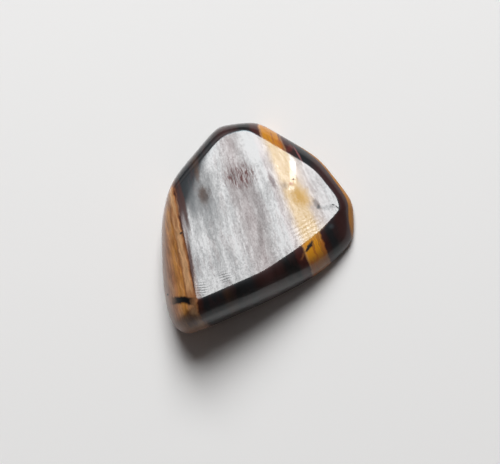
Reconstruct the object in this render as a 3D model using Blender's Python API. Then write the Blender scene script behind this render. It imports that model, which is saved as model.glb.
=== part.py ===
"""A tumble-polished pebble of banded tiger's eye, lying on its flattest side.

One natural stone and one closed solid, a low wedge that is thick in the south-west and thin in
the east. Metres, +Z up, +Y along the longest extent. The origin is at the centre of the bottom
of the pebble's bounding box.

Three outlines shape it: the foot that it rests on, the girdle where it is widest, and the rim of
its polished face. Rounded shoulders join the rim to the girdle and the girdle to the foot.
"""
import math

import bpy
import bmesh
import numpy as np

MM = 0.001

# Driving dimensions
MIDDLE_HEIGHT = 5.3 * MM
HALF_LENGTH = 11.2 * MM

# Each outline is worn from a few nearly straight sides:
# (direction that the side faces, its distance from the centre in mm)
GIRDLE_SIDES = ((3, 10.4), (38, 9.8), (60, 9.75), (97, 11.12), (140, 10.0), (163, 9.95),
                (181, 10.0), (193, 11.2), (214, 13.2), (238, 13.9), (262, 12.3), (293, 7.7),
                (300, 7.6), (314, 8.3), (330, 9.7), (347, 10.6))
RIM_SIDES = ((316, 5.0), (10, 9.0), (39, 8.6), (60, 8.36), (95, 10.25), (115, 10.05),
             (140, 8.9), (192, 7.5), (294, 4.35), (305, 4.05))
FOOT_SIDES = ((5, 7.5), (50, 7.3), (95, 8.6), (140, 7.7), (180, 7.9), (213, 9.5), (296, 5.6))

# The higher the sharpness, the tighter the corners between the sides
GIRDLE_SHARPNESS = 36.0
RIM_SHARPNESS = 50.0
FOOT_SHARPNESS = 20.0

# The widest line runs low round the thin east end and high round the thick west side
GIRDLE_HEIGHT = 1.6 * MM
GIRDLE_SWING = 1.3 * MM
GIRDLE_HIGH_SIDE = math.radians(160)

# The polished face slopes down to the thin end. It is a faint dome that falls away in a worn
# shoulder at the north-west.
FACE_SLOPE = math.tan(math.radians(17))
FACE_FACING = math.radians(25)
DOME = 0.10 * MM
SHOULDER_FACING = math.radians(158)
SHOULDER_DISTANCE = 8.1 * MM
SHOULDER_SLOPE = math.tan(math.radians(10))
SHOULDER_FOLD = 0.7 * MM

# The rounded shoulder is fuller than a plain arc, and the west side is ground to a flatter bevel
ROUND_EXPONENT = 2.0
BEVEL_EXPONENT = 1.3
BEVEL_FACING = math.radians(197)
BEVEL_SPREAD = math.radians(32)

# Mesh density
SEGMENTS = 120
FACE_RINGS = 7
SHOULDER_RINGS = 12
UNDERSIDE_RINGS = 8
CURVE_SAMPLES = 160

# Weight of turning against length when rings are spread along a curve
TURN_WEIGHT = 1.6 * MM

STONE_COLOUR = (0.27, 0.17, 0.09, 1.0)
STONE_ROUGHNESS = 0.12


def clear_scene():
    """Remove whatever the scene holds."""
    for item in list(bpy.data.objects):
        bpy.data.objects.remove(item, do_unlink=True)


def outline_radius(sides, sharpness, angles):
    """Distance from the centre to the outline that worn sides make, at each angle."""
    total = np.zeros_like(angles)
    for facing, distance in sides:
        reach = np.maximum(np.cos(angles - math.radians(facing)), 0.0)
        total += (reach / (distance * MM)) ** sharpness
    return total ** (-1.0 / sharpness)


def girdle_height(angles):
    """Height of the widest line at each angle."""
    return GIRDLE_HEIGHT + GIRDLE_SWING * np.cos(angles - GIRDLE_HIGH_SIDE)


def face_height(x, y):
    """Height of the polished face, carried on past its rim."""
    past = x * math.cos(SHOULDER_FACING) + y * math.sin(SHOULDER_FACING) - SHOULDER_DISTANCE
    fall = SHOULDER_SLOPE * SHOULDER_FOLD * np.logaddexp(0.0, past / SHOULDER_FOLD)
    dome = DOME * (x * x + y * y) / HALF_LENGTH ** 2
    lean = FACE_SLOPE * (x * math.cos(FACE_FACING) + y * math.sin(FACE_FACING))
    return MIDDLE_HEIGHT - dome - fall - lean


def bevel_exponent(angle):
    """How flat the shoulder is: a plain arc all round, and a ground bevel on the west side."""
    turn = math.remainder(angle - BEVEL_FACING, 2.0 * math.pi) / BEVEL_SPREAD
    return ROUND_EXPONENT - (ROUND_EXPONENT - BEVEL_EXPONENT) * math.exp(-turn * turn)


def spread_along(outward, upward, width, height, rings):
    """Pick rings + 1 points of a curve, closer together where it turns."""
    step_out = np.diff(outward) * width
    step_up = np.diff(upward) * height
    heading = np.unwrap(np.arctan2(step_up, step_out))
    turning = np.abs(np.diff(heading, prepend=heading[0]))
    travelled = np.cumsum(np.hypot(step_out, step_up) + TURN_WEIGHT * turning)
    travelled = np.concatenate(([0.0], travelled))
    wanted = np.linspace(0.0, travelled[-1], rings + 1)
    return np.interp(wanted, travelled, outward), np.interp(wanted, travelled, upward)


def shoulder_curve(width, height, exponent, rings):
    """Shares of the width and of the height, from the rim out and down to the girdle.

    The taller the shoulder is for its width, the straighter is the wall below its rounded edge.
    """
    wall_exponent = max(2.0, 1.4 * height / width)
    turn = np.linspace(0.0, 0.5 * math.pi, CURVE_SAMPLES)
    outward = np.sin(turn) ** (2.0 / exponent)
    upward = np.cos(turn) ** (2.0 / wall_exponent)
    upward[-1] = 0.0
    return spread_along(outward, upward, width, height, rings)


def stone_rings():
    """Rings of points from the middle of the polished face to the edge of the foot."""
    angles = np.linspace(0.0, 2.0 * math.pi, SEGMENTS, endpoint=False)
    rim = outline_radius(RIM_SIDES, RIM_SHARPNESS, angles)
    girdle = outline_radius(GIRDLE_SIDES, GIRDLE_SHARPNESS, angles)
    foot = outline_radius(FOOT_SIDES, FOOT_SHARPNESS, angles)
    waist = girdle_height(angles)
    east = np.cos(angles)
    north = np.sin(angles)

    rings = []
    for index in range(1, FACE_RINGS + 1):
        radius = rim * index / FACE_RINGS
        x = radius * east
        y = radius * north
        rings.append(np.column_stack((x, y, face_height(x, y))))

    brow = face_height(rim * east, rim * north)
    curves = []
    for angle, inner, outer, high, low in zip(angles, rim, girdle, brow, waist):
        curves.append(shoulder_curve(outer - inner, high - low, bevel_exponent(angle),
                                     SHOULDER_RINGS))
    outward = np.array([curve[0] for curve in curves])
    upward = np.array([curve[1] for curve in curves])
    for index in range(1, SHOULDER_RINGS + 1):
        radius = rim + (girdle - rim) * outward[:, index]
        x = radius * east
        y = radius * north
        z = waist + upward[:, index] * (face_height(x, y) - waist)
        rings.append(np.column_stack((x, y, z)))

    for index in range(1, UNDERSIDE_RINGS + 1):
        turn = 0.5 * math.pi * index / UNDERSIDE_RINGS
        radius = foot + (girdle - foot) * math.cos(turn)
        z = waist * (1.0 - math.sin(turn))
        rings.append(np.column_stack((radius * east, radius * north, z)))
    return rings


def centred(rings):
    """Move the rings so that the middle of their box stands over the origin."""
    points = np.concatenate(rings)
    middle = 0.5 * (points.min(axis=0) + points.max(axis=0))
    shift = np.array((middle[0], middle[1], 0.0))
    return [ring - shift for ring in rings], -shift


def build_stone():
    """The pebble as one closed mesh."""
    rings, shift = centred(stone_rings())
    shell = bmesh.new()
    middle = shell.verts.new((shift[0], shift[1], face_height(0.0, 0.0)))
    loops = [[shell.verts.new(point) for point in ring] for ring in rings]

    for here in range(SEGMENTS):
        after = (here + 1) % SEGMENTS
        shell.faces.new((middle, loops[0][here], loops[0][after]))
        for upper, lower in zip(loops, loops[1:]):
            shell.faces.new((upper[here], lower[here], lower[after], upper[after]))
    shell.faces.new(list(reversed(loops[-1])))

    mesh = bpy.data.meshes.new("tigers_eye_stone")
    shell.to_mesh(mesh)
    shell.free()
    mesh.shade_smooth()
    mesh.set_sharp_from_angle(angle=math.radians(35))
    return mesh


def stone_material():
    """Polished banded quartz, in the one colour that its bands average to."""
    material = bpy.data.materials.new("polished_tigers_eye")
    material.use_nodes = True
    shader = material.node_tree.nodes["Principled BSDF"]
    shader.inputs["Base Color"].default_value = STONE_COLOUR
    shader.inputs["Roughness"].default_value = STONE_ROUGHNESS
    shader.inputs["Metallic"].default_value = 0.0
    return material


def main():
    clear_scene()
    mesh = build_stone()
    mesh.materials.append(stone_material())
    stone = bpy.data.objects.new("tigers_eye_stone", mesh)
    bpy.context.scene.collection.objects.link(stone)


main()
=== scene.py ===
"""A polished pebble of banded tiger's eye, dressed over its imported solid, with its stage."""
import math

import bpy
import numpy as np
from mathutils import Matrix, Vector


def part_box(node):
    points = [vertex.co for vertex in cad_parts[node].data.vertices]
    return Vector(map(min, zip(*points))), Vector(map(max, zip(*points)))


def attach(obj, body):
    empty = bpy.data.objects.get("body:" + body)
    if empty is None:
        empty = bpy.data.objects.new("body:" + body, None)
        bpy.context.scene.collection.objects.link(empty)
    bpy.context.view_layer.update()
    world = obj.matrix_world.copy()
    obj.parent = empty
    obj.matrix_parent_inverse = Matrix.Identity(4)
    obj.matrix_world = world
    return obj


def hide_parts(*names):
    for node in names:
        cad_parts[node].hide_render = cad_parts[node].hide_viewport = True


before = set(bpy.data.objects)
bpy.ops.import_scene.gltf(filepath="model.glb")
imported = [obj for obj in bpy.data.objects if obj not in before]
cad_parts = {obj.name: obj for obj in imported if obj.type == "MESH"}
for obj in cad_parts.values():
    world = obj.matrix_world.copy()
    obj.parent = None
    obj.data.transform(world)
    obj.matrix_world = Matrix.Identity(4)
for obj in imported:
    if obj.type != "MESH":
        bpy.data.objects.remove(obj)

bl_info = {
    "name": "Tiger's Eye Pebble",
    "version": (1, 0, 0),
    "blender": (4, 5, 0),
    "location": "View3D > Sidebar > Pebble",
    "description": "Builds a polished, banded tiger's eye pebble and a pale table to show it on",
    "category": "Add Mesh",
}

MM = 0.001
TO_MM = 1000.0
FULL_TURN = 2.0 * math.pi

STONE_NODE = "tigers_eye_stone"
STONE_SLOT = "polished_tigers_eye"
PIECE_NAME = "polished_pebble"
COURSE = "course"

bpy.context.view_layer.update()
NODE_LOW, NODE_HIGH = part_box(STONE_NODE)

# The outlines of the solid: (direction that a worn side faces, its distance from the centre in mm)
GIRDLE_SIDES = ((3, 10.4), (38, 9.8), (60, 9.75), (97, 11.12), (140, 10.0), (163, 9.95),
                (181, 10.0), (193, 11.2), (214, 13.2), (238, 13.9), (262, 12.3), (293, 7.7),
                (300, 7.6), (314, 8.3), (330, 9.7), (347, 10.6))
RIM_SIDES = ((316, 5.0), (10, 9.0), (39, 8.6), (60, 8.36), (95, 10.25), (115, 10.05),
             (140, 8.9), (192, 7.5), (294, 4.35), (305, 4.05))
FOOT_SIDES = ((5, 7.5), (50, 7.3), (95, 8.6), (140, 7.7), (180, 7.9), (213, 9.5), (296, 5.6))
GIRDLE_SHARPNESS = 36.0
RIM_SHARPNESS = 50.0
FOOT_SHARPNESS = 20.0

GIRDLE_HEIGHT = 1.6 * MM
GIRDLE_SWING = 1.3 * MM
GIRDLE_HIGH_SIDE = math.radians(160)
FACE_SLOPE = math.tan(math.radians(17))
FACE_FACING = math.radians(25)
HALF_LENGTH = 11.2 * MM
DOME = 0.10 * MM
SHOULDER_FACING = math.radians(158)
SHOULDER_DISTANCE = 8.1 * MM
SHOULDER_SLOPE = math.tan(math.radians(10))
SHOULDER_FOLD = 0.7 * MM
ROUND_EXPONENT = 2.0
BEVEL_EXPONENT = 1.3
BEVEL_FACING = math.radians(197)
BEVEL_SPREAD = math.radians(32)
WALL_STRAIGHTNESS = 1.4
CURVE_SAMPLES = 240
TURN_WEIGHT = 1.6 * MM

# Tumbling's waves: how many, their lengths in mm, and how they die out towards foot and face
WAVE_COUNT = 7
LONGEST_WAVE = 9.0
SHORTEST_WAVE = 3.0
WAVE_SEED = 11
CLEAR_OF_FOOT = 0.8 * MM
CLEAR_OF_FACE = 0.5

# The bands are nearly upright sheets that fan out from a far line, in mm: where a sheet meets
# the middle of the pebble from west to east is the number that names it
FAN_EAST = 25.5
FAN_NORTH = 80.6
BAND_LEAN = 0.06
BAND_WEST = -11.5
BAND_EAST = 11.5

# In the stone's material, heights in mm are taken square to the leaning face, which is at this one
FACE_LEVEL = 7.4

# Half heights in mm of the marks on the face and of those that go through to the walls
MARK_DEPTH = 2.5
DEEP = 5.0

BODY_ROUGHNESS = 0.42
BODY_SPECULAR = 0.2
QUARTZ_IOR = 1.54
POLISH_ROUGHNESS = 0.015

# The colour sockets of a Mix node
MIX_FIRST = 6
MIX_SECOND = 7
MIX_RESULT = 2

TABLE_HALF_WIDTH = 2.0
TABLE_ROUGHNESS = 0.9
TABLE_SPECULAR = 0.1

# Lights: distance in m, azimuth and angle off the zenith in degrees, half of the angles that the
# panel spans in degrees, and radiance
SOFTBOX = (1.0, 109.3, 10.6, (8.5, 15.0))
WINDOW = (0.7, 96.0, 47.0, (14.0, 14.0), 18.0)
NORTH_SKY = (1.5, 92.0, 48.0, (42.0, 22.0), 0.8)
STRIP = (0.95, 58.3, 3.292, (0.155, 0.66), 18.0)
DASH = (0.95, 48.8, 2.545, (0.15, 0.09), 18.0)

CAMERA_EAST = -0.87 * MM
CAMERA_NORTH = -0.42 * MM
SENSOR_WIDTH = 36.0
CLIP_START = 0.01


class PebbleSizes(bpy.types.PropertyGroup):
    """Sizes of the pebble's mesh and of its fine relief."""

    middle_height: bpy.props.FloatProperty(
        name="Middle height", description="Height of the middle of the polished face",
        default=5.3 * MM, unit="LENGTH", precision=5)
    swell: bpy.props.FloatProperty(
        name="Swell", description="Height of the long, shallow waves that tumbling leaves",
        default=0.004 * MM, unit="LENGTH", precision=6)
    segments: bpy.props.IntProperty(
        name="Segments", description="Points round each ring", default=480, min=48, max=500)
    face_rings: bpy.props.IntProperty(
        name="Face rings", description="Rings across the polished face", default=64, min=8)
    shoulder_rings: bpy.props.IntProperty(
        name="Shoulder rings", description="Rings from the rim to the girdle", default=64, min=8)
    underside_rings: bpy.props.IntProperty(
        name="Underside rings", description="Rings from the girdle to the foot",
        default=36, min=8)
    foot_rings: bpy.props.IntProperty(
        name="Foot rings", description="Rings across the flat foot", default=24, min=4)


class PebbleColours(bpy.types.PropertyGroup):
    """Body colours of the bands."""

    gold: bpy.props.FloatVectorProperty(
        name="Gold", description="The bright tiger's eye band", subtype="COLOR", size=4,
        default=(0.47, 0.19, 0.010, 1.0))
    honey: bpy.props.FloatVectorProperty(
        name="Honey", description="The wood-like brown of the west bevel", subtype="COLOR",
        size=4, default=(0.42, 0.185, 0.045, 1.0))
    bark: bpy.props.FloatVectorProperty(
        name="Bark", description="Dark streaks in the west bevel", subtype="COLOR", size=4,
        default=(0.22, 0.085, 0.03, 1.0))
    slate: bpy.props.FloatVectorProperty(
        name="Slate", description="The blue-black hawk's eye bands", subtype="COLOR", size=4,
        default=(0.012, 0.014, 0.017, 1.0))
    steel: bpy.props.FloatVectorProperty(
        name="Steel", description="Lighter fibres in the slate bands", subtype="COLOR", size=4,
        default=(0.040, 0.048, 0.054, 1.0))
    maroon: bpy.props.FloatVectorProperty(
        name="Maroon", description="The dark red jasper bands", subtype="COLOR", size=4,
        default=(0.036, 0.010, 0.009, 1.0))
    oxblood: bpy.props.FloatVectorProperty(
        name="Oxblood", description="Thin red lines beside the gold", subtype="COLOR", size=4,
        default=(0.085, 0.014, 0.011, 1.0))
    umber: bpy.props.FloatVectorProperty(
        name="Umber", description="Brown streaks among the slate", subtype="COLOR", size=4,
        default=(0.060, 0.028, 0.015, 1.0))
    mauve: bpy.props.FloatVectorProperty(
        name="Mauve", description="The dull outer skin of the west side", subtype="COLOR",
        size=4, default=(0.24, 0.14, 0.10, 1.0))


class PebbleStudio(bpy.types.PropertyGroup):
    """Table, lights and camera."""

    camera_height: bpy.props.FloatProperty(
        name="Camera height", description="Height of the lens over the table",
        default=0.250, unit="LENGTH")
    frame_width: bpy.props.FloatProperty(
        name="Frame width", description="Width of table that the picture takes in",
        default=53.2 * MM, unit="LENGTH", precision=5)
    softbox_radiance: bpy.props.FloatProperty(
        name="Softbox brightness", description="Radiance of the overhead softbox", default=15.0)
    table_colour: bpy.props.FloatVectorProperty(
        name="Table colour", description="Colour of the plain pale table", subtype="COLOR",
        size=4, default=(0.80, 0.80, 0.795, 1.0))


def outline_radius(sides, sharpness, angles):
    """Distance from the centre to the outline that worn sides make, at each angle."""
    total = np.zeros_like(angles)
    for facing, distance in sides:
        reach = np.maximum(np.cos(angles - math.radians(facing)), 0.0)
        total += (reach / (distance * MM)) ** sharpness
    return total ** (-1.0 / sharpness)


def girdle_height(angles):
    """Height of the widest line at each angle."""
    return GIRDLE_HEIGHT + GIRDLE_SWING * np.cos(angles - GIRDLE_HIGH_SIDE)


def face_height(x, y, middle_height):
    """Height of the polished face, carried on past its rim."""
    past = x * math.cos(SHOULDER_FACING) + y * math.sin(SHOULDER_FACING) - SHOULDER_DISTANCE
    fall = SHOULDER_SLOPE * SHOULDER_FOLD * np.logaddexp(0.0, past / SHOULDER_FOLD)
    dome = DOME * (x * x + y * y) / HALF_LENGTH ** 2
    lean = FACE_SLOPE * (x * math.cos(FACE_FACING) + y * math.sin(FACE_FACING))
    return middle_height - dome - fall - lean


def bevel_exponent(angle):
    """How flat the shoulder is: a plain arc all round, and a ground bevel on the west side."""
    turn = math.remainder(angle - BEVEL_FACING, FULL_TURN) / BEVEL_SPREAD
    return ROUND_EXPONENT - (ROUND_EXPONENT - BEVEL_EXPONENT) * math.exp(-turn * turn)


def spread_along(outward, upward, width, height, rings):
    """Pick rings + 1 points of a curve, closer together where it turns."""
    step_out = np.diff(outward) * width
    step_up = np.diff(upward) * height
    heading = np.unwrap(np.arctan2(step_up, step_out))
    turning = np.abs(np.diff(heading, prepend=heading[0]))
    travelled = np.cumsum(np.hypot(step_out, step_up) + TURN_WEIGHT * turning)
    travelled = np.concatenate(([0.0], travelled))
    wanted = np.linspace(0.0, travelled[-1], rings + 1)
    return np.interp(wanted, travelled, outward), np.interp(wanted, travelled, upward)


def shoulder_curve(width, height, exponent, rings):
    """Shares of the width and of the height, from the rim out and down to the girdle.

    The taller the shoulder is for its width, the straighter is the wall below its rounded edge.
    """
    wall_exponent = max(ROUND_EXPONENT, WALL_STRAIGHTNESS * height / width)
    turn = np.linspace(0.0, 0.5 * math.pi, CURVE_SAMPLES)
    outward = np.sin(turn) ** (2.0 / exponent)
    upward = np.cos(turn) ** (2.0 / wall_exponent)
    upward[-1] = 0.0
    return spread_along(outward, upward, width, height, rings)


def pebble_grid(sizes):
    """Points of the smooth pebble, ring by ring from the face's middle to the foot's middle.

    The course of a point is 0 on the polished face, rises to 1 at the girdle and to 2 at the foot.
    """
    angles = np.linspace(0.0, FULL_TURN, sizes.segments, endpoint=False)
    rim = outline_radius(RIM_SIDES, RIM_SHARPNESS, angles)
    girdle = outline_radius(GIRDLE_SIDES, GIRDLE_SHARPNESS, angles)
    foot = outline_radius(FOOT_SIDES, FOOT_SHARPNESS, angles)
    waist = girdle_height(angles)
    east = np.cos(angles)
    north = np.sin(angles)
    rings = []
    courses = []

    for share in np.linspace(0.0, 1.0, sizes.face_rings + 1)[1:]:
        x = rim * share * east
        y = rim * share * north
        rings.append(np.column_stack((x, y, face_height(x, y, sizes.middle_height))))
        courses.append(np.zeros_like(angles))

    brow = face_height(rim * east, rim * north, sizes.middle_height)
    curves = [shoulder_curve(outer - inner, high - low, bevel_exponent(angle),
                             sizes.shoulder_rings)
              for angle, inner, outer, high, low in zip(angles, rim, girdle, brow, waist)]
    outward = np.array([curve[0] for curve in curves])
    upward = np.array([curve[1] for curve in curves])
    for index in range(1, sizes.shoulder_rings + 1):
        radius = rim + (girdle - rim) * outward[:, index]
        x = radius * east
        y = radius * north
        z = waist + upward[:, index] * (face_height(x, y, sizes.middle_height) - waist)
        rings.append(np.column_stack((x, y, z)))
        courses.append(outward[:, index])

    for share in np.linspace(0.0, 1.0, sizes.underside_rings + 1)[1:]:
        turn = 0.5 * math.pi * share
        radius = foot + (girdle - foot) * math.cos(turn)
        z = waist * (1.0 - math.sin(turn))
        rings.append(np.column_stack((radius * east, radius * north, z)))
        courses.append(np.full_like(angles, 1.0 + share))

    for share in np.linspace(1.0, 0.0, sizes.foot_rings + 1)[1:-1]:
        rings.append(np.column_stack((foot * share * east, foot * share * north,
                                      np.zeros_like(foot))))
        courses.append(np.full_like(angles, 2.0))

    grid = np.array(rings)
    middle = 0.5 * (grid.min(axis=(0, 1)) + grid.max(axis=(0, 1)))
    grid[:, :, 0] += 0.5 * (NODE_LOW.x + NODE_HIGH.x) - middle[0]
    grid[:, :, 1] += 0.5 * (NODE_LOW.y + NODE_HIGH.y) - middle[1]
    return grid, np.array(courses)


def grid_normals(grid):
    """Unit normals of the grid, pointing out of the stone."""
    along = np.roll(grid, -1, axis=1) - np.roll(grid, 1, axis=1)
    down = np.gradient(grid, axis=0)
    normals = np.cross(down, along)
    return normals / np.linalg.norm(normals, axis=2, keepdims=True)


def waves(points, count, longest, shortest, seed):
    """A smooth, seeded sum of waves, between about -1 and 1. Wave lengths are in mm."""
    draw = np.random.RandomState(seed)
    total = np.zeros(points.shape[:-1])
    for _ in range(count):
        heading = draw.normal(size=3)
        heading /= np.linalg.norm(heading)
        length = draw.uniform(shortest, longest)
        phase = draw.uniform(0.0, FULL_TURN)
        total += np.sin(FULL_TURN * (points * TO_MM) @ heading / length + phase)
    return total / math.sqrt(count)


def relieved(grid, courses, sizes):
    """The grid with the shallow waves of a tumbled stone, flat on its face and its foot."""
    normals = grid_normals(grid)
    height = sizes.swell * waves(grid, WAVE_COUNT, LONGEST_WAVE, SHORTEST_WAVE, seed=WAVE_SEED)
    clear_of_foot = np.clip(grid[:, :, 2] / CLEAR_OF_FOOT, 0.0, 1.0)
    clear_of_face = np.clip(courses / CLEAR_OF_FACE, 0.0, 1.0)
    height = height * clear_of_foot * clear_of_face
    return grid + normals * height[:, :, None]


def pebble_mesh(sizes):
    """The pebble as one closed mesh, with the course of each point as an attribute."""
    smooth, courses = pebble_grid(sizes)
    grid = relieved(smooth, courses, sizes)
    rings, segments = grid.shape[:2]
    top = grid[0].mean(axis=0)
    bottom = np.array((grid[-1, :, 0].mean(), grid[-1, :, 1].mean(), 0.0))
    points = np.concatenate((grid.reshape(-1, 3), (top, bottom)))
    crown = rings * segments
    heel = crown + 1

    faces = []
    for here in range(segments):
        after = (here + 1) % segments
        faces.append((crown, here, after))
        last = (rings - 1) * segments
        faces.append((heel, last + after, last + here))
    for ring in range(rings - 1):
        upper = ring * segments
        lower = upper + segments
        for here in range(segments):
            after = (here + 1) % segments
            faces.append((upper + here, lower + here, lower + after, upper + after))

    mesh = bpy.data.meshes.new(PIECE_NAME)
    mesh.from_pydata(points.tolist(), [], faces)
    mesh.shade_smooth()
    course = mesh.attributes.new(COURSE, "FLOAT", "POINT")
    course.data.foreach_set("value", np.concatenate((courses.ravel(), (0.0, 2.0))))
    return mesh


class Wiring:
    """Adds nodes to a tree and links them."""

    def __init__(self, tree):
        self.tree = tree
        self.tree.nodes.clear()

    def node(self, kind, **settings):
        node = self.tree.nodes.new(kind)
        for name, value in settings.items():
            setattr(node, name, value)
        return node

    def feed(self, socket, value):
        """Link a socket, or set its value."""
        if isinstance(value, bpy.types.NodeSocket):
            self.tree.links.new(value, socket)
        else:
            socket.default_value = value

    def maths(self, operation, *values, clamp=False):
        node = self.node("ShaderNodeMath", operation=operation, use_clamp=clamp)
        for socket, value in zip(node.inputs, values):
            self.feed(socket, value)
        return node.outputs[0]

    def vector(self, operation, *values):
        node = self.node("ShaderNodeVectorMath", operation=operation)
        for socket, value in zip(node.inputs, values):
            self.feed(socket, value)
        return node.outputs["Value" if operation in {"LENGTH", "DOT_PRODUCT"} else "Vector"]

    def joined(self, x, y, z):
        node = self.node("ShaderNodeCombineXYZ")
        for socket, value in zip(node.inputs, (x, y, z)):
            self.feed(socket, value)
        return node.outputs[0]

    def eased(self, value, low, high, at_low=0.0, at_high=1.0):
        """A smooth step of a value."""
        node = self.node("ShaderNodeMapRange", interpolation_type="SMOOTHSTEP")
        for name, number in (("Value", value), ("From Min", low), ("From Max", high),
                             ("To Min", at_low), ("To Max", at_high)):
            self.feed(node.inputs[name], number)
        return node.outputs["Result"]

    def noise(self, place, scale, detail=2.0, roughness=0.5, distortion=0.0):
        node = self.node("ShaderNodeTexNoise")
        for name, value in (("Vector", place), ("Scale", scale), ("Detail", detail),
                            ("Roughness", roughness), ("Distortion", distortion)):
            self.feed(node.inputs[name], value)
        return node.outputs["Fac"]

    def blend(self, share, first, second, mode="MIX"):
        node = self.node("ShaderNodeMix", data_type="RGBA", blend_type=mode)
        self.feed(node.inputs["Factor"], share)
        self.feed(node.inputs[MIX_FIRST], first)
        self.feed(node.inputs[MIX_SECOND], second)
        return node.outputs[MIX_RESULT]

    def ramp(self, position, stops):
        node = self.node("ShaderNodeValToRGB")
        elements = node.color_ramp.elements
        while len(elements) < len(stops):
            elements.new(0.5)
        for element, (place, colour) in zip(elements, stops):
            element.position = place
            element.color = colour
        self.feed(node.inputs[0], position)
        return node.outputs[0]

    def spot(self, place, middle, half_sizes, turn=0.0, soft=0.6, boxy=False):
        """A soft-edged patch, round or boxy: 1 inside, 0 outside its half sizes in mm."""
        mapping = self.node("ShaderNodeMapping", vector_type="TEXTURE")
        self.feed(mapping.inputs["Vector"], place)
        mapping.inputs["Location"].default_value = middle
        mapping.inputs["Rotation"].default_value = (0.0, 0.0, math.radians(turn))
        mapping.inputs["Scale"].default_value = half_sizes
        away = self.vector("LENGTH", mapping.outputs[0])
        if boxy:
            sides = self.node("ShaderNodeSeparateXYZ")
            self.feed(sides.inputs[0], self.vector("ABSOLUTE", mapping.outputs[0]))
            away = self.maths("MAXIMUM", sides.outputs["X"], sides.outputs["Y"])
        return self.eased(away, 1.0 - soft, 1.0, 1.0, 0.0)


def band_ramp(wires, band, stops):
    """A colour ramp across the bands. Stops are (band number, colour)."""
    span = BAND_EAST - BAND_WEST
    share = wires.maths("DIVIDE", wires.maths("SUBTRACT", band, BAND_WEST), span)
    return wires.ramp(share, [((at - BAND_WEST) / span, tone) for at, tone in stops])


def grey(level):
    return (level, level, level, 1.0)


def stone_places(wires, middle_height):
    """Coordinates in mm, the band number, and the noises that break the bands up."""
    coordinates = wires.node("ShaderNodeTexCoord")
    raised = wires.vector("MULTIPLY", coordinates.outputs["Object"], (TO_MM, TO_MM, TO_MM))
    slope = (FACE_SLOPE * math.cos(FACE_FACING), FACE_SLOPE * math.sin(FACE_FACING), 1.0)
    split = wires.node("ShaderNodeSeparateXYZ")
    wires.feed(split.inputs[0], raised)
    x, y = split.outputs["X"], split.outputs["Y"]
    z = wires.maths("ADD", wires.vector("DOT_PRODUCT", raised, slope), FACE_LEVEL - middle_height)
    place = wires.joined(x, y, z)
    fan = wires.maths("SUBTRACT", 1.0, wires.maths("DIVIDE", y, FAN_NORTH))
    across = wires.maths("DIVIDE", wires.maths("ADD", x, FAN_EAST), fan)
    lean = wires.maths("MULTIPLY", wires.maths("SUBTRACT", z, FACE_LEVEL), BAND_LEAN)
    straight = wires.maths("ADD", wires.maths("SUBTRACT", across, FAN_EAST), lean)
    slow = wires.noise(place, 0.22, detail=2.0)
    quick = wires.noise(place, 1.6, detail=3.0, roughness=0.6)
    drift = wires.maths("MULTIPLY", wires.maths("SUBTRACT", slow, 0.5), 0.5)
    ragged = wires.maths("MULTIPLY", wires.maths("SUBTRACT", quick, 0.5), 0.40)
    band = wires.maths("ADD", wires.maths("ADD", straight, drift), ragged)

    def stretched(across_scale, along_scale, offset=0.0):
        return wires.joined(wires.maths("MULTIPLY_ADD", band, across_scale, offset),
                            wires.maths("MULTIPLY", y, along_scale),
                            wires.maths("MULTIPLY", z, along_scale))

    course = wires.node("ShaderNodeAttribute", attribute_name=COURSE).outputs["Fac"]
    return {
        "place": place, "x": x, "y": y, "band": band, "ragged": ragged, "quick": quick,
        "course": course,
        "fibre": wires.noise(stretched(3.0, 0.45), 1.0, detail=3.0, roughness=0.55),
        "streak": wires.noise(stretched(1.5, 0.30, 40.0), 1.0, detail=3.0, roughness=0.6),
        "grain": wires.noise(stretched(6.0, 3.5, 80.0), 1.0, detail=2.0, roughness=0.6),
        "hairs": wires.noise(stretched(7.0, 1.1, 120.0), 1.0, detail=2.0, roughness=0.5),
        "wood": wires.noise(stretched(4.5, 0.55, 160.0), 1.0, detail=4.0, roughness=0.65),
        "wisps": wires.noise(stretched(2.2, 0.9, 200.0), 1.0, detail=3.0, roughness=0.6,
                             distortion=0.9),
        "cloud": wires.noise(place, 0.40, detail=3.0, roughness=0.55),
        "salt": wires.noise(place, 8.0, detail=1.0, roughness=0.6),
    }


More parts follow.
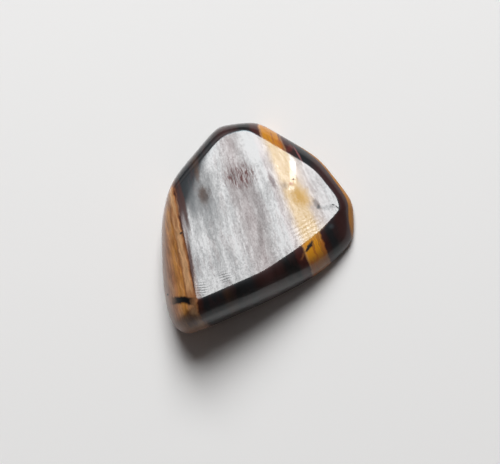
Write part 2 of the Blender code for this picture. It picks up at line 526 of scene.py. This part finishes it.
def stone_material(colours, middle_height):
    """Polished banded quartz: silky body under a glassy polish."""
    material = bpy.data.materials.new(STONE_SLOT)
    material.use_nodes = True
    wires = Wiring(material.node_tree)
    shader = wires.node("ShaderNodeBsdfPrincipled")
    output = wires.node("ShaderNodeOutputMaterial")
    wires.feed(output.inputs["Surface"], shader.outputs["BSDF"])

    slate, steel = tuple(colours.slate), tuple(colours.steel)
    maroon, oxblood = tuple(colours.maroon), tuple(colours.oxblood)
    umber, gold, honey = tuple(colours.umber), tuple(colours.gold), tuple(colours.honey)
    bark, mauve = tuple(colours.bark), tuple(colours.mauve)
    black = (0.004, 0.004, 0.005, 1.0)
    deep_gold = (0.50, 0.27, 0.020, 1.0)
    cream_gold = (0.44, 0.26, 0.045, 1.0)
    blush = (0.27, 0.17, 0.08, 1.0)
    dusk = (0.13, 0.075, 0.05, 1.0)
    tan = (0.44, 0.25, 0.125, 1.0)
    sienna = (0.33, 0.135, 0.045, 1.0)
    wine = (0.065, 0.022, 0.022, 1.0)
    amber = (0.38, 0.145, 0.010, 1.0)
    # Painted light: a brighter gold that lightens the gold of the south walls
    painted_light_gold = (0.85, 0.36, 0.012, 1.0)
    dark_red = (0.045, 0.012, 0.008, 1.0)
    salmon = (0.30, 0.10, 0.10, 1.0)
    rust = (0.38, 0.11, 0.015, 1.0)

    at = stone_places(wires, middle_height * TO_MM)
    x, y, band = at["x"], at["y"], at["band"]
    fibre, streak, grain, cloud = at["fibre"], at["streak"], at["grain"], at["cloud"]

    wood_bands = ((-11.4, mauve), (-10.3, sienna), (-9.85, sienna), (-9.5, honey), (-9.0, honey),
                  (-8.85, bark), (-8.65, tan), (-8.2, tan), (-8.05, sienna), (-7.90, dark_red),
                  (-7.55, dark_red), (-7.40, slate))
    wall_bands = (*wood_bands, (-5.6, slate), (-5.0, umber), (-4.2, black),
                  (-2.4, slate), (-1.5, maroon), (-0.4, wine), (0.3, maroon), (1.0, maroon),
                  (1.6, black), (2.65, black), (3.05, oxblood), (3.75, oxblood),
                  (3.92, tan), (4.08, gold), (5.66, gold), (5.84, oxblood), (6.0, blush),
                  (6.15, oxblood), (6.8, maroon), (7.0, slate))
    face_bands = (*wood_bands, (-2.2, slate), (-1.5, maroon), (-0.4, wine), (0.3, maroon),
                  (1.6, slate), (2.7, slate), (3.1, wine), (3.5, dusk), (3.9, blush),
                  (4.4, cream_gold), (5.8, cream_gold), (6.4, blush), (7.1, dusk), (7.6, maroon),
                  (8.8, slate), (11.0, slate))

    face = wires.eased(at["course"], 0.10, 0.0)
    west = wires.eased(band, -7.55, -7.80)
    golden = wires.maths("MULTIPLY", wires.eased(band, 3.7, 4.0), wires.eased(band, 6.3, 6.0))
    dark = wires.maths("SUBTRACT", 1.0, wires.maths("MAXIMUM", west, golden))
    colour = wires.blend(face, band_ramp(wires, band, wall_bands),
                         band_ramp(wires, band, face_bands))

    def varied(noise, strength):
        """A factor near one that follows a noise."""
        return wires.maths("MULTIPLY_ADD", noise, strength, 1.0 - 0.5 * strength)

    def tinted(share, strength, tone):
        return wires.blend(wires.maths("MULTIPLY", share, strength), colour, tone)

    def both(first, second):
        return wires.maths("MULTIPLY", first, second)

    colour = tinted(both(wires.eased(streak, 0.48, 0.62), west), 0.65, bark)
    colour = tinted(both(wires.eased(fibre, 0.52, 0.66), west), 0.35, tan)
    colour = wires.blend(west, colour, wires.blend(1.0, colour, varied(at["wood"], 2.0),
                                                   "MULTIPLY"))
    outer_skin = both(west, wires.eased(at["course"], 0.70, 0.92))
    colour = tinted(outer_skin, 0.75, mauve)
    wall_gold = both(golden, wires.maths("SUBTRACT", 1.0, face))
    # Painted light: the gold of the walls is lightened towards the south, where the north light
    # leaves it in shade
    colour = tinted(both(wall_gold, wires.eased(y, 3.0, -1.0)), 0.4, painted_light_gold)
    # Painted shade: the gold low on the south walls is darkened towards bark, as those walls turn
    # away from the light
    painted_shade_low_wall = both(wires.eased(at["course"], 0.35, 0.80), wires.eased(y, 2.0, -1.0))
    colour = tinted(both(wall_gold, painted_shade_low_wall), 0.75, bark)
    colour = tinted(both(wires.eased(streak, 0.50, 0.62), wall_gold), 0.75, rust)
    colour = tinted(both(wires.eased(at["wood"], 0.54, 0.62), wall_gold), 0.6, bark)
    colour = tinted(both(wires.eased(fibre, 0.52, 0.70), dark), 0.16, steel)
    colour = tinted(both(wires.eased(streak, 0.50, 0.40), dark), 0.30, wine)
    dark_wall = both(dark, wires.maths("SUBTRACT", 1.0, face))
    colour = tinted(dark_wall, 0.5, grey(0.0))

    east_end = wires.maths("MULTIPLY_ADD", y, 0.35, x)
    colour = tinted(both(wires.eased(east_end, 7.6, 8.8), dark_wall), 0.85, maroon)
    toward_north = wires.maths("MULTIPLY_ADD", y, 0.042, -0.088)
    toward_south = wires.maths("MULTIPLY_ADD", y, -0.10, 0.21)
    thinning = wires.maths("MAXIMUM", toward_north, toward_south)
    outward = wires.maths("SUBTRACT", at["course"], thinning)
    outward = wires.maths("MULTIPLY_ADD", at["ragged"], 0.02, outward)
    east_side = both(wires.eased(x, 3.0, 5.5), wires.eased(at["course"], 1.35, 1.10))
    amber_rim = both(wires.eased(outward, 0.63, 0.72), east_side)
    colour = tinted(amber_rim, 1.0, amber)

    jitter = wires.joined(wires.maths("SUBTRACT", at["quick"], 0.5),
                          wires.maths("SUBTRACT", streak, 0.5), 0.0)

    def shaken(reach):
        """The place in mm, moved about a little to give marks ragged edges."""
        moved = wires.vector("MULTIPLY", jitter, (reach, reach, 0.0))
        return wires.vector("ADD", at["place"], moved)

    polish = band_ramp(wires, band, (
        (-11.4, grey(0.5)), (-8.0, grey(0.5)), (-7.75, grey(0.42)), (-7.35, grey(0.55)),
        (-6.9, grey(0.80)), (-5.7, grey(0.80)), (-5.3, grey(0.62)), (-4.6, grey(0.60)),
        (-3.9, grey(0.66)), (-3.2, grey(0.80)), (-2.6, grey(0.90)), (-2.1, grey(0.80)),
        (-1.3, grey(0.64)), (-0.7, grey(0.64)), (0.1, grey(0.54)), (0.9, grey(0.54)),
        (1.6, grey(0.84)), (2.2, grey(0.92)), (2.8, grey(1.0)), (3.2, grey(0.82)),
        (3.7, grey(0.78)), (4.3, grey(0.52)), (5.8, grey(0.48)), (6.4, grey(0.62)),
        (7.2, grey(0.72)), (7.7, grey(0.95)), (8.6, grey(1.0)), (9.3, grey(0.80))))

    for noise, strength in ((fibre, 1.1), (streak, 1.1), (grain, 1.0), (cloud, 0.8),
                            (at["salt"], 0.9)):
        polish = both(polish, varied(noise, strength))
    north_end = wires.eased(y, 6.2, 8.0)
    polish = both(polish, wires.maths("MULTIPLY_ADD", north_end, 0.12, 1.0))
    wisps = both(wires.eased(at["wisps"], 0.54, 0.66), wires.eased(y, 1.0, -1.5))
    polish = both(polish, wires.maths("MULTIPLY_ADD", both(wisps, dark), 0.22, 1.0))

    # Marks: middle (x, y, z) and half sizes (x, y) in mm, turn in degrees, softness, raggedness,
    # tone, how much of the tone shows, and how much of the polish is lost
    marks = (
        ("gold patch", (4.55, 3.25, 7.2), (1.35, 1.9), 42, 0.9, 1.1, deep_gold, 1.0, 0.72),
        ("gold patch tail", (3.73, 4.85, 7.2), (0.7, 0.9), 0, 0.9, 0.8, deep_gold, 0.6, 0.20),
        ("rust by the glint", (3.42, 4.64, 7.2), (0.34, 0.30), 0, 0.9, 0.3, rust, 0.8, 0.40),
        ("smudge", (2.75, 4.49, 7.2), (0.55, 0.75), 20, 1.0, 0.3, umber, 0.6, 0.30),
        ("shade", (-1.5, 3.6, 7.2), (6.0, 4.6), 0, 0.9, 0.0, None, 0.0, 0.20),
        ("north-west dusk", (-7.5, 4.0, 7.2), (4.4, 3.9), 0, 0.9, 0.9, None, 0.0, 0.60),
        ("blue-grey zone", (-6.3, 1.2, 7.2), (1.7, 2.8), 8, 0.9, 0.8, steel, 0.5, 0.24),
        ("blue-grey strip", (-6.80, 3.0, 7.2), (0.75, 3.0), 8, 0.8, 0.5, steel, 0.7, 0.42),
        ("wine haze", (-1.9, 5.4, 7.2), (2.5, 1.7), 0, 0.9, 1.0, wine, 0.7, 0.24),
        ("wine core", (-2.60, 5.47, 7.2), (0.60, 1.10), 10, 0.8, 0.8, maroon, 0.9, 0.42),
        ("haze below", (-1.58, 3.66, 7.2), (1.5, 1.4), 0, 0.9, 1.0, maroon, 0.6, 0.16),
        ("purple streak", (1.44, 4.95, 7.2), (0.38, 1.30), 21, 0.7, 0.4, wine, 0.9, 0.62),
        ("brown patch", (-5.60, 3.40, 7.2), (0.80, 1.45), 12, 0.7, 0.8, umber, 1.0, 0.85),
        ("brown streak", (-6.35, 5.70, 7.0), (0.36, 1.45), 8, 0.9, 0.6, umber, 0.95, 0.62),
        ("bevel line", (-7.72, 2.27, 6.8), (0.34, 3.9), 13, 0.6, 0.3, dark_red, 0.95, 0.93),
        ("bevel line end", (-6.98, -3.5, 6.8), (0.30, 4.2), 8.5, 0.7, 0.2, dark_red, 0.95, 0.90),
        ("blue zone", (-4.9, 2.2, 7.2), (1.3, 4.2), 8, 0.9, 0.8, steel, 0.5, 0.24),
        ("mauve band", (0.12, -1.0, 7.2), (0.60, 3.4), -2, 0.8, 0.6, maroon, 0.6, 0.30),
        ("lens", (6.15, 2.50, 7.2), (0.40, 1.00), 38, 0.8, 0.5, umber, 0.9, 0.60),
        ("lens end", (6.34, 2.20, 7.2), (0.28, 0.38), -40, 0.8, 0.2, black, 0.9, 0.55),
        ("mottled patch", (7.29, 2.20, 7.2), (1.10, 0.48), 0, 0.8, 0.5, slate, 0.8, 0.38),
        ("crack", (7.89, 2.45, 7.2), (0.26, 0.09), -12, 0.6, 0.0, black, 1.0, 0.85),
        ("crack end", (8.34, 2.17, 7.2), (0.46, 0.10), -41, 0.6, 0.0, black, 1.0, 0.90),
        ("glint speck", (3.68, 5.11, 7.2), (0.12, 0.12), 0, 0.5, 0.0, black, 0.9, 0.90),
        ("facet speck", (-8.0, -0.54, 6.5), (0.24, 0.17), 40, 0.5, 0.2, slate, 0.9, 0.50),
        ("pit", (-9.46, -6.95, 4.5), (0.14, 0.16), 0, 0.5, 0.0, black, 0.95, 0.90),
        ("red by the top gold", (3.35, 8.35, 6.5), (0.50, 0.55), 0, 0.6, 0.8, oxblood, 0.9, 0.00),
        ("gold crack", (5.30, -1.95, 7.0), (0.25, 1.00), -33, 0.6, 0.7, slate, 1.0, 0.30),
        ("gold crack end", (4.72, -2.95, 6.0), (0.22, 0.70), -18, 0.8, 0.7, bark, 0.95, 0.20),
        ("slate spot", (7.67, 0.16, 6.9), (0.45, 0.40), 0, 0.9, 0.3, steel, 0.9, 0.00),
        ("salmon line", (4.2, 7.70, 6.9), (0.13, 1.50), 28, 0.8, 0.2, salmon, 0.7, 0.10),
        ("north white", (-1.2, 8.5, 7.2), (2.6, 2.2), 0, 0.9, 0.5, None, 0.0, -0.18),
        ("white fleck", (5.87, -0.13, 7.2), (0.15, 0.45), 0, 0.8, 0.1, None, 0.0, -0.45),
    )
    for _, middle, half_sizes, turn, soft, ragged, tone, shows, lost in marks:
        mask = wires.spot(shaken(ragged), middle, (*half_sizes, MARK_DEPTH), turn, soft)
        if tone:
            colour = tinted(mask, shows, tone)
        polish = both(polish, wires.maths("MULTIPLY_ADD", mask, -lost, 1.0))

    wine_patch = wires.spot(shaken(1.0), (-1.9, 5.4, 7.2), (2.6, 1.8, MARK_DEPTH), 10.0, 0.8)
    wine_hairs = both(wine_patch, wires.eased(at["hairs"], 0.52, 0.42))
    colour = tinted(wine_hairs, 1.0, oxblood)
    polish = both(polish, wires.maths("MULTIPLY_ADD", wine_hairs, -0.90, 1.0))
    pale_hairs = both(wine_patch, wires.eased(at["hairs"], 0.55, 0.62))
    polish = both(polish, wires.maths("MULTIPLY_ADD", pale_hairs, 0.40, 1.0))

    # Rows of fine ridges: middle (x, y) and half sizes in mm, turn in degrees, pitch in mm, strength
    hatches = ((-5.87, -6.30, 0.95, 0.95, 8.0, 0.26, 0.60),
               (-3.44, -5.06, 1.00, 0.75, 18.0, 0.26, 0.50),
               (4.97, 0.00, 2.4, 1.7, 28.0, 0.42, 0.32))
    for px, py, half_x, half_y, turn, pitch, strength in hatches:
        mask = wires.spot(at["place"], (px, py, 7.2), (half_x, half_y, MARK_DEPTH), turn, 0.7)
        across = (-math.sin(math.radians(turn)), math.cos(math.radians(turn)), 0.0)
        level = wires.vector("DOT_PRODUCT", shaken(0.3), across)
        wave = wires.maths("SINE", wires.maths("MULTIPLY", level, FULL_TURN / pitch))
        polish = both(polish, wires.maths("MULTIPLY_ADD", both(mask, wave), strength, 1.0))

    bar = wires.spot(shaken(0.6), (-7.80, -7.5, 5.5), (1.50, 0.52, DEEP), 0.0, 0.6, boxy=True)
    bar_halo = wires.spot(shaken(1.0), (-6.9, -6.9, 5.5), (1.3, 0.9, DEEP), 0.0, 0.9)
    corner = wires.spot(shaken(0.8), (-6.9, -9.6, 4.5), (1.9, 1.2, DEEP), 0.0, 0.8)
    colour = tinted(both(corner, west), 0.75, umber)
    colour = tinted(bar_halo, 0.85, bark)
    colour = tinted(bar, 1.0, black)
    wires.feed(shader.inputs["Base Color"], colour)

    north_wall = wires.eased(y, -4.0, 4.0, 0.40, 1.0)
    wall_polish = wires.eased(at["course"], 0.35, 0.95, 0.85, north_wall)
    wall_polish = both(wall_polish, wires.maths("MULTIPLY_ADD", amber_rim, -0.9, 1.0))
    dull_brow = both(wires.eased(x, 1.0, -4.0), wires.eased(at["course"], 0.72, 0.60))
    dull_brow = both(dull_brow, wires.eased(y, 0.0, -3.0))
    wall_polish = both(wall_polish, wires.maths("MULTIPLY_ADD", dull_brow, -0.6, 1.0))
    wall_polish = both(wall_polish, wires.eased(x, 5.0, 8.5, 1.0, 0.6))
    wall_polish = both(wall_polish, wires.maths("MULTIPLY_ADD", bar, -0.9, 1.0))
    tip = wires.spot(at["place"], (-7.9, -9.9, 4.5), (2.6, 2.2, DEEP), 0.0, 0.8)
    wall_polish = both(wall_polish, wires.maths("MULTIPLY_ADD", tip, -0.75, 1.0))
    off_face = wires.eased(at["course"], 0.04, 0.16)
    kept = both(polish, wires.maths("SUBTRACT", 1.0, off_face))
    polish = wires.maths("ADD", kept, both(wall_polish, off_face), clamp=True)
    wires.feed(shader.inputs["Coat Weight"], polish)

    shader.inputs["Roughness"].default_value = BODY_ROUGHNESS
    shader.inputs["Specular IOR Level"].default_value = BODY_SPECULAR
    shader.inputs["IOR"].default_value = QUARTZ_IOR
    shader.inputs["Coat IOR"].default_value = QUARTZ_IOR
    shader.inputs["Coat Roughness"].default_value = POLISH_ROUGHNESS
    return material


class PEBBLE_OT_stone(bpy.types.Operator):
    """Build the polished pebble over its solid"""

    bl_idname = "pebble.stone"
    bl_label = "Polished pebble"

    def execute(self, context):
        sizes = context.scene.pebble_sizes
        mesh = pebble_mesh(sizes)
        mesh.materials.append(stone_material(context.scene.pebble_colours, sizes.middle_height))
        pebble = bpy.data.objects.new(PIECE_NAME, mesh)
        context.scene.collection.objects.link(pebble)
        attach(pebble, "root")
        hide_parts(STONE_NODE)
        return {"FINISHED"}


def plain_table(studio):
    """A wide, plain pale sheet that the pebble lies on."""
    half = TABLE_HALF_WIDTH
    mesh = bpy.data.meshes.new("table")
    mesh.from_pydata([(-half, -half, 0), (half, -half, 0), (half, half, 0), (-half, half, 0)],
                     [], [(0, 1, 2, 3)])
    table = bpy.data.objects.new("table", mesh)
    material = bpy.data.materials.new("pale_table")
    material.use_nodes = True
    shader = material.node_tree.nodes["Principled BSDF"]
    shader.inputs["Base Color"].default_value = tuple(studio.table_colour)
    shader.inputs["Roughness"].default_value = TABLE_ROUGHNESS
    shader.inputs["Specular IOR Level"].default_value = TABLE_SPECULAR
    mesh.materials.append(material)
    return table


def area_light(name, distance, azimuth, off_zenith, half_angles, radiance):
    """A rectangular light turned to the pebble. Angles are in degrees, seen from the pebble."""
    around, down = math.radians(azimuth), math.radians(off_zenith)
    toward = Vector((math.sin(down) * math.cos(around), math.sin(down) * math.sin(around),
                     math.cos(down)))
    east = Vector((0.0, 1.0, 0.0)).cross(toward).normalized()
    north = toward.cross(east)
    light = bpy.data.lights.new(name, "AREA")
    light.shape = "RECTANGLE"
    light.size = 2.0 * distance * math.tan(math.radians(half_angles[0]))
    light.size_y = 2.0 * distance * math.tan(math.radians(half_angles[1]))
    light.energy = radiance * math.pi * light.size * light.size_y
    lamp = bpy.data.objects.new(name, light)
    lamp.location = toward * distance
    lamp.rotation_mode = "QUATERNION"
    lamp.rotation_quaternion = Matrix((east, north, toward)).transposed().to_quaternion()
    return lamp


def mirrored_by_face(lamp):
    """Swing a light over by twice the lean of the polished face, which mirrors it."""
    axis = Vector((-math.sin(FACE_FACING), math.cos(FACE_FACING), 0.0))
    swing = Matrix.Rotation(2.0 * math.atan(FACE_SLOPE), 4, axis)
    lamp.location = swing @ lamp.location
    lamp.rotation_quaternion = swing.to_quaternion() @ lamp.rotation_quaternion


def faded_panel(lamp):
    """Emission nodes of a light, with its strength socket and its place across the panel."""
    light = lamp.data
    light.use_nodes = True
    wires = Wiring(light.node_tree)
    output = wires.node("ShaderNodeOutputLight")
    glow = wires.node("ShaderNodeEmission")
    split = wires.node("ShaderNodeSeparateXYZ")
    wires.feed(split.inputs[0], wires.node("ShaderNodeNewGeometry").outputs["Parametric"])
    wires.feed(output.inputs["Surface"], glow.outputs[0])
    return wires, glow, split


def fade_sky(lamp):
    """Let the north sky fade towards all of its edges."""
    wires, glow, split = faded_panel(lamp)

    def humped(place):
        """Full in the middle of the panel and dark at both edges."""
        rise = wires.eased(place, 0.0, 0.45)
        return wires.maths("MULTIPLY", rise, wires.eased(place, 1.0, 0.55))

    shade = wires.maths("MULTIPLY", humped(split.outputs["X"]), humped(split.outputs["Y"]))
    wires.feed(glow.inputs["Strength"], shade)


def fade_softbox(lamp):
    """Let the softbox fade to its west and north edges, dim to the south, and blue to the north."""
    wires, glow, split = faded_panel(lamp)
    from_west = wires.eased(split.outputs["X"], 0.02, 0.38)
    from_south = wires.eased(split.outputs["Y"], 0.0, 0.30, 0.88, 1.08)
    to_north = wires.eased(split.outputs["Y"], 0.34, 1.0, 1.0, 0.0)
    shade = wires.maths("MULTIPLY", wires.maths("MULTIPLY", from_west, from_south), to_north)
    wires.feed(glow.inputs["Strength"], shade)
    sky = wires.eased(split.outputs["Y"], 0.30, 0.60)
    wires.feed(glow.inputs["Color"], wires.blend(sky, (1.0, 1.0, 1.0, 1.0),
                                                 (0.70, 0.90, 1.0, 1.0)))


def dim_room():
    """Surroundings: a dim, warm room with a cooler and brighter north side."""
    world = bpy.data.worlds.new("room")
    world.use_nodes = True
    wires = Wiring(world.node_tree)
    background = wires.node("ShaderNodeBackground")
    output = wires.node("ShaderNodeOutputWorld")
    coordinates = wires.node("ShaderNodeTexCoord")
    split = wires.node("ShaderNodeSeparateXYZ")
    wires.feed(split.inputs[0], coordinates.outputs["Generated"])
    dim = (0.055, 0.044, 0.040, 1.0)
    window_side = (0.16, 0.165, 0.175, 1.0)
    tone = wires.blend(wires.eased(split.outputs["Y"], 0.0, 0.8), dim, window_side)
    wires.feed(background.inputs["Color"], tone)
    background.inputs["Strength"].default_value = 1.0
    wires.feed(output.inputs["Surface"], background.outputs[0])
    return world


def overhead_camera(studio):
    """A camera that looks straight down at the table."""
    data = bpy.data.cameras.new("overhead_camera")
    data.sensor_width = SENSOR_WIDTH
    data.lens = data.sensor_width * studio.camera_height / studio.frame_width
    data.clip_start = CLIP_START
    camera = bpy.data.objects.new("overhead_camera", data)
    camera.location = (CAMERA_EAST, CAMERA_NORTH, studio.camera_height)
    return camera


class PEBBLE_OT_stage(bpy.types.Operator):
    """Lay the table, hang the lights and set up the camera"""

    bl_idname = "pebble.stage"
    bl_label = "Table, lights and camera"

    def execute(self, context):
        scene = context.scene
        studio = scene.pebble_studio
        table = plain_table(studio)
        camera = overhead_camera(studio)
        softbox = area_light("softbox", *SOFTBOX, studio.softbox_radiance)
        fade_softbox(softbox)
        softbox.visible_diffuse = False
        window = area_light("window_panel", *WINDOW)
        window.visible_glossy = False
        sky = area_light("north_sky", *NORTH_SKY)
        fade_sky(sky)
        sky.visible_diffuse = False
        strip = area_light("strip_light", *STRIP)
        dash = area_light("dash_light", *DASH)
        for lamp in (softbox, strip, dash):
            mirrored_by_face(lamp)
        for item in (table, camera, softbox, window, sky, strip, dash):
            scene.collection.objects.link(item)
        scene.camera = camera
        scene.world = dim_room()
        scene.view_settings.view_transform = "Standard"
        return {"FINISHED"}


class PEBBLE_PT_panel(bpy.types.Panel):
    """Lists the pebble's build steps"""

    bl_label = "Tiger's Eye Pebble"
    bl_idname = "PEBBLE_PT_panel"
    bl_space_type = "VIEW_3D"
    bl_region_type = "UI"
    bl_category = "Pebble"

    def draw(self, context):
        layout = self.layout
        for group in ("pebble_sizes", "pebble_colours", "pebble_studio"):
            settings = getattr(context.scene, group)
            box = layout.box()
            for name in settings.__annotations__:
                box.prop(settings, name)
        layout.operator(PEBBLE_OT_stone.bl_idname)
        layout.operator(PEBBLE_OT_stage.bl_idname)


CLASSES = (PebbleSizes, PebbleColours, PebbleStudio, PEBBLE_OT_stone, PEBBLE_OT_stage,
           PEBBLE_PT_panel)


def register():
    for item in CLASSES:
        bpy.utils.register_class(item)
    bpy.types.Scene.pebble_sizes = bpy.props.PointerProperty(type=PebbleSizes)
    bpy.types.Scene.pebble_colours = bpy.props.PointerProperty(type=PebbleColours)
    bpy.types.Scene.pebble_studio = bpy.props.PointerProperty(type=PebbleStudio)


def unregister():
    del bpy.types.Scene.pebble_studio
    del bpy.types.Scene.pebble_colours
    del bpy.types.Scene.pebble_sizes
    for item in reversed(CLASSES):
        bpy.utils.unregister_class(item)


def main():
    register()
    bpy.ops.pebble.stone()
    bpy.ops.pebble.stage()


if __name__ == "__main__":
    main()
